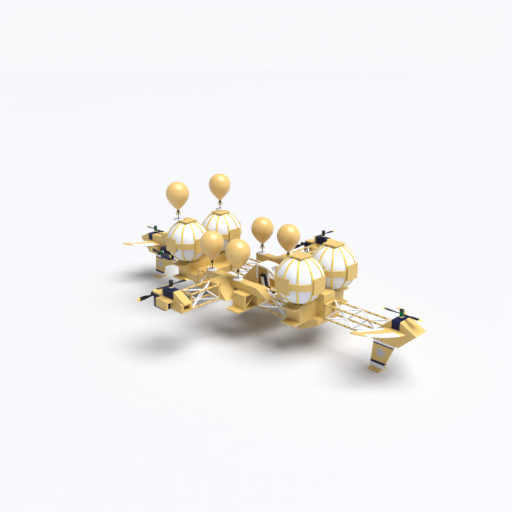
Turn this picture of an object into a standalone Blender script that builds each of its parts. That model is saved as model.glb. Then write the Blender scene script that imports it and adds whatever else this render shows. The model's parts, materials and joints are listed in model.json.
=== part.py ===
# Block-built airship: four ribbed envelopes on a cross of trusses, with seven propellers
# Metres, +Z up. Forward is -Y and starboard is -X. The origin is on the ground, midway
# between the nose and the tail, below the centreline.
import math

import bmesh
import bpy
from mathutils import Vector

# Driving dimensions
BLOCK = 1.0                     # the module that every block, bay and envelope is built on
HALF = BLOCK / 2
LIFT = 4.5                      # height of the envelopes' centres above the ground
GAP = 0.0003                    # between pieces that touch
PLATE = 0.1                     # thickness of foot plates and end plates

ENVELOPE_X = 1.5                # envelope centres, either side of the centreline
ENVELOPE_Y = 5.0                # and before and behind the cockpit
ENVELOPE_R = 1.39               # outside radius of the fabric
ENVELOPE_WALL = 0.01            # the envelope is a 10 mm shell
CAGE_T = 0.05                   # thickness of the ribs and belt
CAGE_FACE = 1.45                # from the centre to the outer face of the square plates
CAGE_PLATE = 0.95               # width of a square plate
RIBS = 10
RIB_W = 0.12
RIB_END_ANGLE = 80.0            # the ribs run on to this latitude, to meet the end plates
BELT_H = 0.4
MOUTH_ANGLE = 72.0              # latitude below which the envelope is open, degrees

TRUSS_ROD = 0.12                # square chords and end frames
TRUSS_STEP = 0.005              # the end frames stand this far inside the chords' faces
BRACE_ROD = 0.08
CRADLE_STEP = 0.005             # keeps a cradle's joined blocks from sharing a face
PROP_R = 1.2
PROP_CLEAR = 0.006              # running gap between a propeller's boss and its engine
BOSS_H = 0.05
BOSS_R = 0.16
SHAFT_R = 0.03                  # the shaft turns in a blind bore in the hub
SHAFT_L = 0.12
BORE_R = 0.0305
BORE_L = 0.14
HUB_R = 0.13
HUB_H = 0.45
HUB_SIDES = 20
BLADE_H = 0.18                  # height of the blades above the foot of the hub
BLADE_PITCH = 0.35
FIN_PAD = 0.75
NOSE_TO_TAIL_FIN = 20.0         # the rear fin repeats the front one this far behind it
NOSE_TO_TAIL_WING = 21.0

BALLOON_R = 0.76
BALLOON_H = 1.95
BALLOON_STEM = 0.6              # height of the balloon's neck above its footing
BALLOON_SIDES = 14

# Colours: name, red, green, blue, roughness, metallic
PAINTS = {
    "gold": (0.80, 0.55, 0.17, 0.45, 0.3),
    "white": (0.85, 0.86, 0.90, 0.5, 0.0),
    "navy": (0.01, 0.015, 0.06, 0.3, 0.2),
    "black": (0.01, 0.01, 0.012, 0.4, 0.0),
    "seat": (0.03, 0.04, 0.09, 0.7, 0.0),
    "balloon": (0.90, 0.55, 0.14, 0.2, 0.0),
}


def clear_scene():
    for item in list(bpy.data.objects):
        bpy.data.objects.remove(item, do_unlink=True)


def paint(name):
    found = bpy.data.materials.get(name)
    if found:
        return found
    red, green, blue, roughness, metallic = PAINTS[name]
    material = bpy.data.materials.new(name)
    material.use_nodes = True
    shader = material.node_tree.nodes["Principled BSDF"]
    shader.inputs["Base Color"].default_value = (red, green, blue, 1.0)
    shader.inputs["Roughness"].default_value = roughness
    shader.inputs["Metallic"].default_value = metallic
    return material


def place(name, mesh_builder, colour, origin=(0.0, 0.0, 0.0)):
    """Turn a bmesh, drawn about the envelopes' level, into a named object at its origin."""
    mesh = bpy.data.meshes.new(name)
    shift = Vector((origin[0], origin[1], origin[2]))
    bmesh.ops.translate(mesh_builder, verts=mesh_builder.verts, vec=-shift)
    bmesh.ops.recalc_face_normals(mesh_builder, faces=mesh_builder.faces)
    mesh_builder.to_mesh(mesh)
    mesh_builder.free()
    item = bpy.data.objects.new(name, mesh)
    item.location = (origin[0], origin[1], origin[2] + LIFT)
    item.data.materials.append(paint(colour))
    bpy.context.scene.collection.objects.link(item)
    return item


def smooth(item, degrees=35.0):
    item.data.shade_smooth()
    item.data.set_sharp_from_angle(angle=math.radians(degrees))
    return item


def extrude(builder, outline, axis, low, high):
    """A closed prism: the outline lies across the axis, in the order of the other two axes."""
    others = [i for i in range(3) if i != axis]
    faces = []
    for level in (low, high):
        ring = []
        for a, b in outline:
            point = [0.0, 0.0, 0.0]
            point[axis] = level
            point[others[0]] = a
            point[others[1]] = b
            ring.append(builder.verts.new(point))
        faces.append(ring)
    count = len(outline)
    builder.faces.new(faces[0])
    builder.faces.new(list(reversed(faces[1])))
    for i in range(count):
        j = (i + 1) % count
        builder.faces.new((faces[0][i], faces[0][j], faces[1][j], faces[1][i]))


def inset(outline, amount):
    """The outline with each edge moved inwards, for the gap between pieces that touch."""
    area = 0.0
    count = len(outline)
    for i in range(count):
        a = outline[i]
        b = outline[(i + 1) % count]
        area += a[0] * b[1] - b[0] * a[1]
    turn = 1.0 if area > 0 else -1.0
    moved = []
    for i in range(count):
        before = Vector(outline[i - 1])
        here = Vector(outline[i])
        after = Vector(outline[(i + 1) % count])
        first = (here - before).normalized()
        second = (after - here).normalized()
        normal_a = Vector((-first.y, first.x)) * turn
        normal_b = Vector((-second.y, second.x)) * turn
        mitre = (normal_a + normal_b).normalized()
        moved.append(tuple(here + mitre * amount / mitre.dot(normal_a)))
    return moved


def add_prism(builder, outline, axis, low, high):
    """A prism held back on every side by half of the gap between touching pieces."""
    extrude(builder, inset(outline, GAP / 2), axis, low + GAP / 2, high - GAP / 2)


def prism(name, outline, axis, low, high, colour):
    builder = bmesh.new()
    add_prism(builder, outline, axis, low, high)
    return place(name, builder, colour)


def joined(name, prisms, colour):
    """One body from overlapping prisms: rows are (outline, axis, low, high)."""
    items = []
    for outline, axis, low, high in prisms:
        items.append(prism(name if not items else "piece", outline, axis, low, high, colour))
    return union(items[0], items[1:])


def rectangle(low_a, high_a, low_b, high_b):
    return [(low_a, low_b), (high_a, low_b), (high_a, high_b), (low_a, high_b)]


def add_box(builder, low, high):
    extrude(builder, [(low[1], low[2]), (high[1], low[2]), (high[1], high[2]), (low[1], high[2])],
            0, low[0], high[0])


def add_bar(builder, start, end, width):
    """A square bar between two points."""
    start = Vector(start)
    end = Vector(end)
    along = (end - start).normalized()
    side = along.cross(Vector((0, 0, 1)))
    if side.length < 0.1:
        side = along.cross(Vector((0, 1, 0)))
    side.normalize()
    up = side.cross(along)
    rings = []
    for point in (start, end):
        corners = ((-1, -1), (1, -1), (1, 1), (-1, 1))
        rings.append([builder.verts.new(point + (side * a + up * b) * width / 2) for a, b in corners])
    builder.faces.new(rings[0])
    builder.faces.new(list(reversed(rings[1])))
    for i in range(4):
        j = (i + 1) % 4
        builder.faces.new((rings[0][i], rings[0][j], rings[1][j], rings[1][i]))


def turned(builder, profile, sides, axis, centre):
    """A solid of revolution: profile rows are (distance along the axis, radius)."""
    frame = {0: (Vector((0, 1, 0)), Vector((0, 0, 1))),
             1: (Vector((0, 0, 1)), Vector((1, 0, 0))),
             2: (Vector((1, 0, 0)), Vector((0, 1, 0)))}[axis]
    along = frame[0].cross(frame[1])
    rings = []
    for distance, radius in profile:
        middle = Vector(centre) + along * distance
        if radius == 0:
            rings.append([builder.verts.new(middle)])
            continue
        ring = []
        for i in range(sides):
            angle = 2 * math.pi * i / sides
            ring.append(builder.verts.new(middle + (frame[0] * math.cos(angle)
                                                    + frame[1] * math.sin(angle)) * radius))
        rings.append(ring)
    for below, above in zip(rings, rings[1:]):
        for i in range(sides):
            j = (i + 1) % sides
            if len(below) == 1:
                builder.faces.new((below[0], above[i], above[j]))
            elif len(above) == 1:
                builder.faces.new((below[i], below[j], above[0]))
            else:
                builder.faces.new((below[i], below[j], above[j], above[i]))
    for ring in (rings[0], rings[-1]):
        if len(ring) > 1:
            builder.faces.new(ring)


def union(item, others):
    """Join overlapping solids for good, so that the node is one closed body."""
    for other in others:
        step = item.modifiers.new("join", "BOOLEAN")
        step.operation = "UNION"
        step.solver = "EXACT"
        step.object = other
    bpy.context.view_layer.update()
    graph = bpy.context.evaluated_depsgraph_get()
    joined = bpy.data.meshes.new_from_object(item.evaluated_get(graph))
    item.modifiers.clear()
    old = item.data
    item.data = joined
    joined.name = old.name
    bpy.data.meshes.remove(old)
    for other in others:
        bpy.data.objects.remove(other, do_unlink=True)
    return item


def merged(name, builders, colour, origin=(0.0, 0.0, 0.0)):
    """One closed body from overlapping solids, each in a bmesh of its own."""
    items = [place(name if not i else "piece", builder, colour, origin)
             for i, builder in enumerate(builders)]
    return union(items[0], items[1:])


def box_builder(low, high):
    builder = bmesh.new()
    add_box(builder, low, high)
    return builder


def bar_builder(start, end, width):
    builder = bmesh.new()
    add_bar(builder, start, end, width)
    return builder


clear_scene()

SIDES = (("starboard", -1), ("port", 1))
ENDS = (("front", -1), ("rear", 1))


def mirrored(side, low, high):
    """A span along X on one side of the centreline, lower end first."""
    return (side * low, side * high) if side > 0 else (side * high, side * low)


# Envelopes: shell and cage share one grid of latitudes and longitudes, so that the ribs lie
# on the fabric's own edges
BELT_ANGLE = math.degrees(math.asin(BELT_H / 2 / ENVELOPE_R))
CAGE_LATITUDES = [-RIB_END_ANGLE, -MOUTH_ANGLE, -50.0, -28.0, -BELT_ANGLE,
                  BELT_ANGLE, 28.0, 50.0, MOUTH_ANGLE, RIB_END_ANGLE]
LATITUDES = CAGE_LATITUDES[1:]
RIB_ANGLE = 360.0 / RIBS
RIB_HALF_ANGLE = math.degrees(RIB_W / 2 / ENVELOPE_R)


def longitudes():
    """Both edges of each rib, then the middle of the panel after it; the flag marks a rib."""
    rows = []
    for rib in range(RIBS):
        middle = rib * RIB_ANGLE
        rows.append((middle - RIB_HALF_ANGLE, True))
        rows.append((middle + RIB_HALF_ANGLE, False))
        rows.append((middle + RIB_ANGLE / 2, False))
    return rows


def on_sphere(radius, latitude, longitude):
    lat = math.radians(latitude)
    lon = math.radians(longitude)
    return Vector((math.cos(lat) * math.cos(lon), math.cos(lat) * math.sin(lon), math.sin(lat))) * radius


def envelope(name, centre):
    """A fabric ball, 10 mm thick, open at its mouth below."""
    builder = bmesh.new()
    columns = longitudes()
    surfaces = []
    for radius in (ENVELOPE_R, ENVELOPE_R - ENVELOPE_WALL):
        rings = [[builder.verts.new(centre + on_sphere(radius, latitude, column[0])) for column in columns]
                 for latitude in LATITUDES]
        top = builder.verts.new(centre + Vector((0, 0, radius)))
        surfaces.append((rings, top))
    count = len(columns)
    for rings, top in surfaces:
        for below, above in zip(rings, rings[1:]):
            for i in range(count):
                j = (i + 1) % count
                builder.faces.new((below[i], below[j], above[j], above[i]))
        for i in range(count):
            builder.faces.new((rings[-1][i], rings[-1][(i + 1) % count], top))
    outer = surfaces[0][0][0]
    inner = surfaces[1][0][0]
    for i in range(count):
        j = (i + 1) % count
        builder.faces.new((outer[i], inner[i], inner[j], outer[j]))
    return smooth(place(name, builder, "white"), 60)


def cage(name, centre):
    """Meridian ribs, a belt and six square plates, fixed together around an envelope."""
    builder = bmesh.new()
    columns = longitudes()
    rows = len(CAGE_LATITUDES)
    count = len(columns)
    radii = (ENVELOPE_R + GAP, ENVELOPE_R + CAGE_T)
    wanted = set()
    for row in range(rows - 1):
        belt = CAGE_LATITUDES[row] == -BELT_ANGLE
        for column in range(count):
            if belt or columns[column][1]:
                wanted.add((row, column))
    points = {}

    def point(row, column, layer):
        key = (row, column % count, layer)
        if key not in points:
            place_at = centre + on_sphere(radii[layer], CAGE_LATITUDES[row], columns[key[1]][0])
            points[key] = builder.verts.new(place_at)
        return points[key]

    for row, column in wanted:
        for layer in (0, 1):
            corners = [point(row, column, layer), point(row, column + 1, layer),
                       point(row + 1, column + 1, layer), point(row + 1, column, layer)]
            builder.faces.new(corners)
        edges = (((row - 1, column), (row, column), (row, column + 1)),
                 ((row + 1, column), (row + 1, column), (row + 1, column + 1)),
                 ((row, (column - 1) % count), (row, column), (row + 1, column)),
                 ((row, (column + 1) % count), (row, column + 1), (row + 1, column + 1)))
        for neighbour, start, end in edges:
            if neighbour not in wanted:
                builder.faces.new((point(*start, 0), point(*end, 0), point(*end, 1), point(*start, 1)))
    item = smooth(place(name, builder, "gold"), 40)
    plates = []
    for axis in range(3):
        for sign in (-1, 1):
            plates.append(square_plate(centre, axis, sign))
    return union(item, plates)


def square_plate(centre, axis, sign):
    """A flat plate that touches the ball at its middle and stands off it at its corners."""
    low = Vector((-CAGE_PLATE / 2,) * 3)
    high = Vector((CAGE_PLATE / 2,) * 3)
    low[axis], high[axis] = sorted((sign * (ENVELOPE_R + GAP), sign * CAGE_FACE))
    return place("plate", box_builder(centre + low, centre + high), "gold")


for end_name, end in ENDS:
    for side_name, side in SIDES:
        middle = Vector((side * ENVELOPE_X, end * ENVELOPE_Y, 0))
        envelope(f"envelope_{end_name}_{side_name}", middle)
        cage(f"cage_{end_name}_{side_name}", middle)


def truss(name, axis, span, across):
    """An open girder: four chords with a frame at each end, and braces that zigzag, one to a bay."""
    rods = []
    others = [i for i in range(3) if i != axis]
    half = TRUSS_ROD / 2 + GAP / 2
    low, high = span[0] + half, span[1] - half
    corners = []
    for a_side, b_side in ((0, 0), (1, 0), (1, 1), (0, 1)):
        corners.append((across[0][a_side] + (half, -half)[a_side], across[1][b_side] + (half, -half)[b_side]))

    def at(level, corner):
        point = [0.0, 0.0, 0.0]
        point[axis] = level
        point[others[0]], point[others[1]] = corners[corner % 4]
        return Vector(point)

    bays = max(1, round((span[1] - span[0]) / BLOCK))
    levels = [low + (high - low) * i / bays for i in range(bays + 1)]
    for corner in range(4):
        start = at(low - TRUSS_ROD / 2, corner)
        end = at(high + TRUSS_ROD / 2, corner)
        rod = Vector((TRUSS_ROD / 2,) * 3)
        rod[axis] = 0.0
        rods.append(box_builder(start - rod, end + rod))
        for level in (low, high):
            first = at(level, corner)
            second = at(level, corner + 1)
            slim = Vector((TRUSS_ROD / 2 - TRUSS_STEP,) * 3)
            near = Vector([min(a, b) for a, b in zip(first, second)])
            far = Vector([max(a, b) for a, b in zip(first, second)])
            slim[axis] = TRUSS_ROD / 2
            rods.append(box_builder(near - slim, far + slim))
        for bay in range(bays):
            turn = (bay + corner) % 2
            first = at(levels[bay], corner + turn)
            second = at(levels[bay + 1], corner + 1 - turn)
            rods.append(bar_builder(first, second, BRACE_ROD))
    return merged(name, rods, "gold")


ARM_TRUSS_END = 5.75

# Trusses: name, axis, span along it, spans across it (in the order of the other axes)
TRUSSES = [
    ("truss_front", 1, (-10.0, -6.0), ((-HALF, HALF), (-2.5, -1.5))),
    ("truss_rear", 1, (6.0, 10.0), ((-HALF, HALF), (-2.5, -1.5))),
]
for side_name, side in SIDES:
    TRUSSES += [
        (f"truss_arm_{side_name}", 0, mirrored(side, 3.5, ARM_TRUSS_END), ((-HALF, HALF), (-2.0, -1.0))),
        (f"truss_front_{side_name}", 1, (-4.5, -2.0), (mirrored(side, 1.0, 2.0), (-2.5, -1.5))),
        (f"truss_rear_{side_name}", 1, (-1.0, 3.5), (mirrored(side, 1.0, 2.0), (-2.5, -1.5))),
    ]
for truss_name, axis, span, across in TRUSSES:
    truss(truss_name, axis, span, across)


def cradle(name, end):
    """Carries two envelopes: a beam across the hull with a keel below and a bridge outboard.

    The outlines are drawn for the rear end, and `end` turns them round for the front.
    """
    beam_xz = [(2.0, -2.5), (2.5, -2.5), (2.5, -2.5 + PLATE), (2.0, -2.5 + PLATE), (2.0, -1.5 - PLATE),
               (2.5, -1.5 - PLATE), (2.5, -1.5), (2.0, -1.5), (2.0, -CAGE_FACE)]
    beam_xz += [(-x, z) for x, z in reversed(beam_xz)]
    keel = [(4.5, -2.4), (4.5, -3.5), (5.5, -3.0), (6.0, -2.75), (6.0, -2.4)]
    bridge = [(5.4, -2.5), (6.0, -2.5), (6.0, -1.0), (5.4, -1.0)]
    span = sorted((end * 4.5, end * 5.5))
    prisms = [
        (beam_xz, 1, span[0], span[1]),
        ([(end * y, z) for y, z in keel], 0, -1.0, 1.0),
        ([(end * y, z) for y, z in bridge], 0, -HALF, HALF),
    ]
    if end > 0:
        prisms.append((rectangle(3.5, 4.6, -2.5 + CRADLE_STEP, -2.0), 0, -2.0 + CRADLE_STEP, 2.0 - CRADLE_STEP))
    return joined(name, prisms, "gold")


def tip(name, end, saddle):
    """The nose or tail block: the engine stands between its wedge and its slope.

    The saddle's points, if any, carry the block back over the truss.
    """
    outline = [(10.0, -2.5), (10.0, -1.5)] + saddle
    outline += [(10.5, -1.0), (10.5, -1.5), (11.0, -1.5), (11.0, -1.0), (12.0, -1.5), (11.0, -2.5)]
    return prism(name, [(end * y, z) for y, z in outline], 0, -HALF, HALF, "gold")


TAIL_SADDLE = [(8.75, -1.5), (8.75, -0.5), (9.45, -0.95)]


def fin(name, shift, braces):
    """A tapering fin on the centreline, cut off at a flat foot pad that stands on the ground."""
    root = 0.12
    blade = [(-10.64, -2.5), (-9.21, -2.5), (-9.05, -4.42), (-9.88, -4.42)]
    pad_y = -9.48
    return joined(name, [
        ([(y + shift, z) for y, z in blade], 0, -root / 2, root / 2),
        (rectangle(pad_y + shift - FIN_PAD / 2, pad_y + shift + FIN_PAD / 2,
                   -LIFT - GAP / 2, -LIFT + PLATE),
         0, -FIN_PAD / 2, FIN_PAD / 2),
    ] + [(brace, 0, -root, root) for brace in braces], "gold")


REAR_FIN_BRACE = [(9.9, -2.5), (9.8, -3.5), (8.55, -3.0), (8.5, -2.5)]


def wing(name, side, shift):
    """A small swept wing, thick at its root and thin at its tip."""
    builder = bmesh.new()
    # Sections: distance out, front, back, bottom, top
    sections = [(HALF + GAP, -11.4, -10.1, -1.75, -1.52), (1.3, -10.85, -9.62, -1.7, -1.54),
                (1.9, -10.15, -9.25, -1.66, -1.56), (2.25, -9.4, -9.12, -1.64, -1.58)]
    rings = []
    for out, front, back, bottom, top in sections:
        corners = ((front, bottom), (back, bottom), (back, top), (front, top))
        rings.append([builder.verts.new((side * out, y + shift, z)) for y, z in corners])
    builder.faces.new(rings[0])
    builder.faces.new(rings[-1])
    for inner, outer in zip(rings, rings[1:]):
        for i in range(4):
            j = (i + 1) % 4
            builder.faces.new((inner[i], inner[j], outer[j], outer[i]))
    return place(name, builder, "gold")


tip("nose", -1, [])
tip("tail", 1, TAIL_SADDLE)
fin("fin_front", 0.0, [])
fin("fin_rear", NOSE_TO_TAIL_FIN, [REAR_FIN_BRACE])
for end_name, end in ENDS:
    cradle(f"cradle_{end_name}", end)
    for side_name, side in SIDES:
        wing(f"wing_{end_name}_{side_name}", side, NOSE_TO_TAIL_WING if end > 0 else 0.0)


def outrigger(name, side):
    """The corner block of the centre frame, with an open bay and a foot outboard of it."""
    block = rectangle(*mirrored(side, 1.0, 2.0), -2.5, -1.5)
    low = rectangle(*mirrored(side, 1.9, 3.5), -2.5, -2.5 + PLATE)
    high = rectangle(*mirrored(side, 1.9, 3.0), -1.5 - PLATE, -1.5)
    plate = rectangle(*mirrored(side, 2.84, 3.0), -2.45, -1.55)
    brace = [(side * 1.95, -1.65), (side * 1.95, -1.53), (side * 2.9, -2.35), (side * 2.9, -2.47)]
    return joined(name, [(outline, 1, -2.0, -1.0) for outline in (block, low, high, plate)]
                  + [(brace, 1, -1.95, -1.8)], "gold")


def shoulder(name, side):
    """The wedge at the root of an arm."""
    upper = [(0.5, -1.0), (0.0, -1.0), (-1.0, -2.0), (0.5, -2.0)]
    lower = [(0.5, -1.5), (-0.5, -1.5), (-1.0, -2.0), (0.5, -2.0)]
    return joined(name, [(upper, 0, *mirrored(side, 2.5, 3.5)), (lower, 0, *mirrored(side, 2.0, 2.6))],
                  "gold")


def deck(name, side):
    """The narrow deck beside the cockpit, sloping down at its front."""
    outline = [(2.0, -1.0), (-2.5, -1.0), (-3.5, -1.5), (2.0, -1.5)]
    return prism(name, outline, 0, *mirrored(side, 2.0, 2.5), "gold")


def arm_end(name, side):
    """The open wedge at the end of an arm, with the bracket outboard of it.

    The propeller's engine stands on the bracket, between a ramp and a back plate, and the
    pusher's engine hangs below it.
    """
    slope = [(0.5, -1.0), (-0.5, -1.5)]
    roof = slope + [(-0.5, -1.5 - PLATE), (0.5, -1.0 - PLATE)]
    wall = slope + [(-0.5, -2.0), (0.5, -2.0)]
    across = mirrored(side, ARM_TRUSS_END, 6.5)
    return joined(name, [
        (wall, 0, *mirrored(side, 6.3, 6.5)),
        (roof, 0, *across),
        (rectangle(-0.5, 0.5, -2.0, -2.0 + PLATE), 0, *across),
        (rectangle(0.5 - PLATE, 0.5, -2.0, -1.0), 0, *across),
        (wall, 0, *mirrored(side, ARM_TRUSS_END, ARM_TRUSS_END + PLATE)),
        (rectangle(-0.5, 0.5, -1.0 - PLATE, -1.0), 0, *mirrored(side, 6.42, 7.5)),
        (rectangle(-0.5, 0.5, -1.5, -1.0), 0, *mirrored(side, 7.5 - PLATE, 7.5)),
        (rectangle(-0.7, 1.45, -1.0 - PLATE, -1.0), 0, *mirrored(side, 6.5, 7.0)),
        (rectangle(0.5, 0.62, -1.0 - PLATE, -0.5), 0, *mirrored(side, 6.5, 7.0)),
        ([(-0.5, -0.5), (-1.5, -0.97), (-1.5, -1.02), (-0.5, -1.02)], 0, *mirrored(side, 6.5, 7.0)),
    ], "gold")


for side_name, side in SIDES:
    outrigger(f"outrigger_{side_name}", side)
    shoulder(f"shoulder_{side_name}", side)
    deck(f"deck_{side_name}", side)
    arm_end(f"arm_end_{side_name}", side)


# Engines: name, low corner, high corner, axis and sign of the shaft, axis that the blades lie
# along at rest, and the propeller's axis through the engine (the coordinate along the shaft is
# the face that it leaves by)
ENGINES = [
    ("nose", (-0.5, -11.0, -1.5), (0.5, -10.5, -1.0), 2, 1, 1, (0.0, -10.75, -1.0)),
    ("tail", (-0.5, 10.5, -1.5), (0.5, 11.0, -1.0), 2, 1, 1, (0.0, 10.75, -1.0)),
    ("starboard", (-7.0, -0.5, -1.0), (-6.5, 0.5, -0.5), 2, 1, 0, (-6.75, 0.0, -0.5)),
    ("port", (6.5, -0.5, -1.0), (7.0, 0.5, -0.5), 2, 1, 0, (6.75, 0.0, -0.5)),
    ("pusher_starboard", (-6.95, 0.5, -2.0), (-6.45, 1.5, -1.1), 1, 1, 0, (-6.7, 1.5, -1.4)),
    ("pusher_port", (6.45, 0.5, -2.0), (6.95, 1.5, -1.1), 1, 1, 0, (6.7, 1.5, -1.4)),
    ("side", (-1.0, 7.9, -2.3), (-0.5, 8.9, -1.5), 0, -1, 1, (-1.0, 8.5, -1.8)),
]


def engine(name, low, high, axis, sign, exit_point):
    """A plain block with the boss that its propeller turns on."""
    block = bmesh.new()
    add_box(block, Vector(low) + Vector((GAP, GAP, GAP)) / 2, Vector(high) - Vector((GAP, GAP, GAP)) / 2)
    item = place(name, block, "navy")
    boss = bmesh.new()
    profile = [(-BOSS_H, BOSS_R), (BOSS_H, BOSS_R), (BOSS_H, SHAFT_R), (BOSS_H + SHAFT_L, SHAFT_R)]
    turned(boss, [(sign * distance, radius) for distance, radius in profile], HUB_SIDES, axis, exit_point)
    return union(item, [place("boss", boss, "navy")])


def propeller(name, axis, sign, span_axis, exit_point):
    """A tall hub with two blades, its origin on the axis at the foot of the hub."""
    origin = list(exit_point)
    origin[axis] += sign * (BOSS_H + PROP_CLEAR)
    origin = Vector(origin)
    builder = bmesh.new()
    profile = [(BORE_L, 0.0), (BORE_L, BORE_R), (0.0, BORE_R), (0.0, HUB_R), (HUB_H - 0.03, HUB_R),
               (HUB_H, HUB_R - 0.05), (HUB_H, 0.0)]
    turned(builder, [(sign * distance, radius) for distance, radius in profile], HUB_SIDES, axis, origin)
    hub = place(name, builder, "black", origin)
    blades = []
    along = Vector((0.0, 0.0, 0.0))
    along[axis] = sign
    span = Vector((0.0, 0.0, 0.0))
    span[span_axis] = 1.0
    wide = along.cross(span)
    for way in (-1, 1):
        blade = bmesh.new()
        # Sections: distance out, half width, thickness
        sections = [(0.06, 0.05, 0.06), (0.45, 0.07, 0.04), (0.75, 0.13, 0.03), (PROP_R, 0.12, 0.025)]
        rings = []
        for out, half_width, thickness in sections:
            ring = []
            for across, up in ((-1, -1), (1, -1), (1, 1), (-1, 1)):
                rise = BLADE_H + way * across * BLADE_PITCH * half_width + up * thickness / 2
                ring.append(blade.verts.new(origin + span * way * out + wide * across * half_width
                                            + along * rise))
            rings.append(ring)
        blade.faces.new(rings[0])
        blade.faces.new(rings[-1])
        for inner, outer in zip(rings, rings[1:]):
            for i in range(4):
                j = (i + 1) % 4
                blade.faces.new((inner[i], inner[j], outer[j], outer[i]))
        blades.append(place("blade", blade, "black", origin))
    return union(hub, blades)


for name, low, high, axis, sign, span_axis, exit_point in ENGINES:
    engine(f"engine_{name}", low, high, axis, sign, exit_point)
    propeller(f"propeller_{name}", axis, sign, span_axis, exit_point)

# Balloons: name, x, y, height of the surface that the base stands on
BALLOONS = []
for side_name, side in SIDES:
    BALLOONS += [
        (f"balloon_top_{side_name}", side * 1.85, 5.45, CAGE_FACE),
        (f"balloon_deck_rear_{side_name}", side * 2.25, 1.65, -1.0),
        (f"balloon_deck_front_{side_name}", side * 2.25, -0.72, -1.0),
    ]


def balloon(name, x, y, level):
    """A party balloon on a taut stem, on a round base."""
    # Profile: height, radius
    profile = [(GAP, 0.32), (0.05, 0.32), (0.06, 0.03), (BALLOON_STEM - 0.02, 0.03), (BALLOON_STEM, 0.08)]
    for height, width in ((0.10, 0.24), (0.20, 0.54), (0.34, 0.84), (0.52, 0.99), (0.68, 1.0),
                          (0.83, 0.84), (0.94, 0.54)):
        profile.append((BALLOON_STEM + height * BALLOON_H, width * BALLOON_R))
    profile.append((BALLOON_STEM + BALLOON_H, 0.0))
    builder = bmesh.new()
    turned(builder, profile, BALLOON_SIDES, 2, (x, y, level))
    return smooth(place(name, builder, "balloon"), 50)


for name, x, y, level in BALLOONS:
    balloon(name, x, y, level)


# Cockpit
joined("tub", [
    (rectangle(-1.0, 1.0, -2.5, -2.4), 1, -2.5, 1.0),
    (rectangle(0.9, 1.0, -2.45, -1.9), 1, -2.5, 1.0),
    (rectangle(-1.0, -0.9, -2.45, -1.9), 1, -2.5, 1.0),
    (rectangle(-2.5, -2.4, -2.45, -1.9), 0, -1.0, 1.0),
], "gold")
prism("fairing", [(-0.5, -0.5), (-0.5, -2.4), (1.0, -2.4), (1.0, -2.0)], 0, -HALF, HALF, "gold")
joined("canopy", [
    ([(-0.5, -0.5), (-1.45, -0.5), (-2.1, -0.8), (-2.5, -1.3), (-2.5, -1.9), (-2.44, -1.9), (-2.44, -1.32),
      (-2.05, -0.86), (-1.43, -0.56), (-0.56, -0.56), (-0.56, -2.4), (-0.5, -2.4)], 0, -HALF, HALF),
], "white")
prism("seat", [(-0.6, -2.4), (-1.7, -2.4), (-1.7, -2.15), (-1.08, -2.15), (-0.8, -1.25), (-0.6, -1.25)],
      0, -0.3, 0.3, "seat")
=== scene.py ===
# The look of a block-built airship: gold frame blocks, trusses, ribbed white envelopes,
# propellers, cockpit and balloons, in metres, +Z up, nose towards -Y, starboard towards -X
import json
import math

import bmesh
import bpy
from mathutils import Matrix, Vector


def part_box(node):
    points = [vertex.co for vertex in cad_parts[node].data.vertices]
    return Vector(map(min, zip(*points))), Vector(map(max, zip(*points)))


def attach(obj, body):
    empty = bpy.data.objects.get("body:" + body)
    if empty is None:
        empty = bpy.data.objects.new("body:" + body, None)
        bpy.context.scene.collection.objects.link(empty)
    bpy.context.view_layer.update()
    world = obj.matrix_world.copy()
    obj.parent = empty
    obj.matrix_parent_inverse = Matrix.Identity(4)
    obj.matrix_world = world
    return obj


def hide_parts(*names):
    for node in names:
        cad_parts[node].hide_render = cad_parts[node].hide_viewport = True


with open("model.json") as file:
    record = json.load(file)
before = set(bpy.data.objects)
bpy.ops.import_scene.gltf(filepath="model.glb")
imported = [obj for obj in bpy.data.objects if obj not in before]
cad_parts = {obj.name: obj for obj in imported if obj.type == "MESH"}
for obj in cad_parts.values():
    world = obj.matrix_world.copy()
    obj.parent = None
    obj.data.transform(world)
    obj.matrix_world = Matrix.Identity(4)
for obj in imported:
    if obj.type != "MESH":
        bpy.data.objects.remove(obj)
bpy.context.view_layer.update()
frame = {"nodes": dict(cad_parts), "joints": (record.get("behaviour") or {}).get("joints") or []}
HULL = "airframe"
SIDES = (("starboard", -1), ("port", 1))
ENDS = (("front", -1), ("rear", 1))

# Camera and studio
# The craft is seen from above its starboard bow, through a long lens, on a pale seamless
# floor under one broad lamp, in a sky that is pale at the horizon and dark overhead.
VIEW_AZIMUTH = math.radians(-44.903)
VIEW_ELEVATION = math.radians(19.349)
VIEW_FROM = Vector((-26.017, -26.099, 17.207))
FRAME_PIXELS = 512.0
FOCAL_PIXELS = 614.46
SENSOR = 36.0
FLOOR_REACH = 400.0
FLOOR_COLOUR = (0.575, 0.585, 0.61)
HORIZON_COLOUR = (0.94, 0.95, 0.97)
ZENITH_COLOUR = (0.10, 0.13, 0.19)
HORIZON_TOP = 0.07
ZENITH_FROM = 0.40
LAMP_AIM = (-0.12, 0.36, -1.0)
LAMP_SPREAD = math.radians(50)
LAMP_POWER = 5.0
LAMP_COLOUR = (1.0, 0.97, 0.92)
MIX_A, MIX_B, MIX_OUT = 6, 7, 2
GLOSS_SPREAD = 0.06


def preset(node, **values):
    """Sets a node's inputs, whose names are given with _ for a space."""
    for label, value in values.items():
        node.inputs[label.replace("_", " ")].default_value = value
    return node


def add(tree, kind, **values):
    """Adds a node to a tree and sets its inputs."""
    return preset(tree.nodes.new(kind), **values)


def chain(tree, *steps):
    """Links (node, output) to (node, input), pair after pair."""
    for source, output, target, entry in steps:
        tree.links.new(source.outputs[output], target.inputs[entry])


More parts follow.
